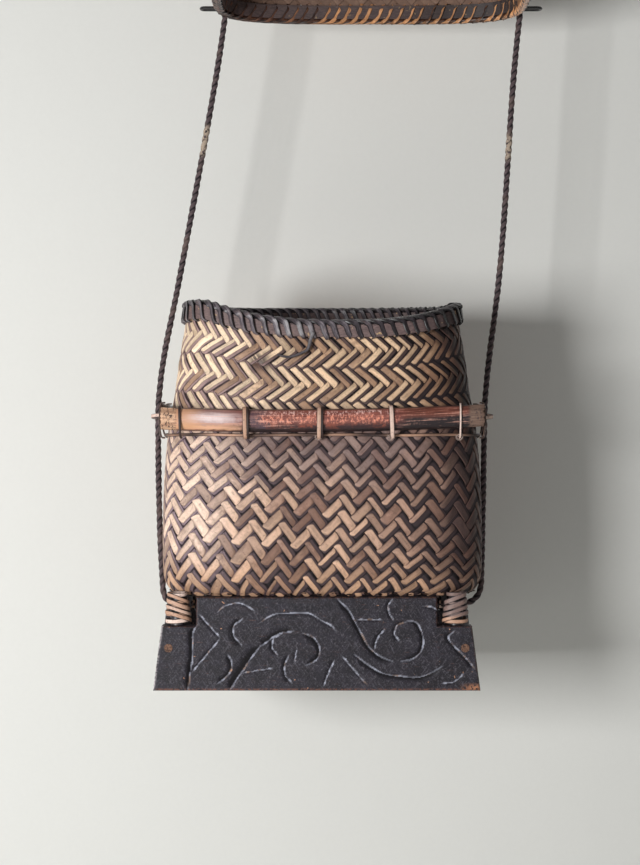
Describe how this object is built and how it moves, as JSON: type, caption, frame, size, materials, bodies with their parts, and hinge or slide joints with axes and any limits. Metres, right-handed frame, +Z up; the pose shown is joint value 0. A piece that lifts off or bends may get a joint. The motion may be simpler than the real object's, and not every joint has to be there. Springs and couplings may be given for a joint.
{
  "type": "basket bag",
  "caption": "Twill woven bamboo basket bag on a carved wooden base, with a woven lid that slides on its hanging cord strap.",
  "frame": {"origin": "underside of the strap's top bend, where a peg or hook carries the bag", "axes": "+Z up, the carved front faces -Y, +X to the right as seen from the front; the lid is raised on the strap"},
  "size_m": [0.2614, 0.126, 0.612],
  "materials": {
    "bamboo_weave": "split bamboo strips, dry, brown with age between the floats",
    "dark_rattan": "rattan darkened by handling, low sheen",
    "split_bamboo": "bamboo skin, polished by handling, red brown",
    "pale_rattan": "plain rattan strip, satin",
    "dark_wood": "near black lacquer, worn at the edges",
    "peg_wood": "bare end grain",
    "strap_fibre": "two strand twisted plant fibre cord, dark"
  },
  "bodies": {
    "bag": {"woven_body": "bamboo_weave", "rim_outer_hoop": "dark_rattan", "rim_inner_hoop": "dark_rattan", "rim_braid": "dark_rattan", "front_rod": "split_bamboo", "back_rod": "split_bamboo", "left_rod": "split_bamboo", "right_rod": "split_bamboo", "waist_cane": "pale_rattan", "front_tie_1": "pale_rattan", "front_tie_2": "pale_rattan", "front_tie_3": "pale_rattan", "front_tie_4": "pale_rattan", "front_tie_5": "pale_rattan", "back_tie_1": "pale_rattan", "back_tie_2": "pale_rattan", "back_tie_3": "pale_rattan", "back_tie_4": "pale_rattan", "back_tie_5": "pale_rattan", "left_tie_1": "pale_rattan", "left_tie_2": "pale_rattan", "right_tie_1": "pale_rattan", "right_tie_2": "pale_rattan", "left_strap_keeper": "pale_rattan", "right_strap_keeper": "pale_rattan", "base_front_board": "dark_wood", "base_back_board": "dark_wood", "base_left_board": "dark_wood", "base_right_board": "dark_wood", "front_left_peg": "peg_wood", "front_right_peg": "peg_wood", "back_left_peg": "peg_wood", "back_right_peg": "peg_wood", "front_left_leg": "split_bamboo", "front_right_leg": "split_bamboo", "back_left_leg": "split_bamboo", "back_right_leg": "split_bamboo", "front_left_lashing": "pale_rattan", "front_right_lashing": "pale_rattan", "back_left_lashing": "pale_rattan", "back_right_lashing": "pale_rattan", "strap_cord": "strap_fibre", "left_strap_knot": "strap_fibre", "right_strap_knot": "strap_fibre"},
    "lid": {"lid_shell": "bamboo_weave", "lid_outer_hoop": "dark_rattan", "lid_inner_hoop": "pale_rattan", "lid_braid": "dark_rattan", "lid_left_loop": "dark_rattan", "lid_right_loop": "dark_rattan"}
  },
  "joints": [
    {"name": "lid_lift", "type": "slide", "parent": "bag", "child": "lid", "axis": [0.1284, 0, 0.9917], "range_m": [-0.2555, 0.01]}
  ]
}
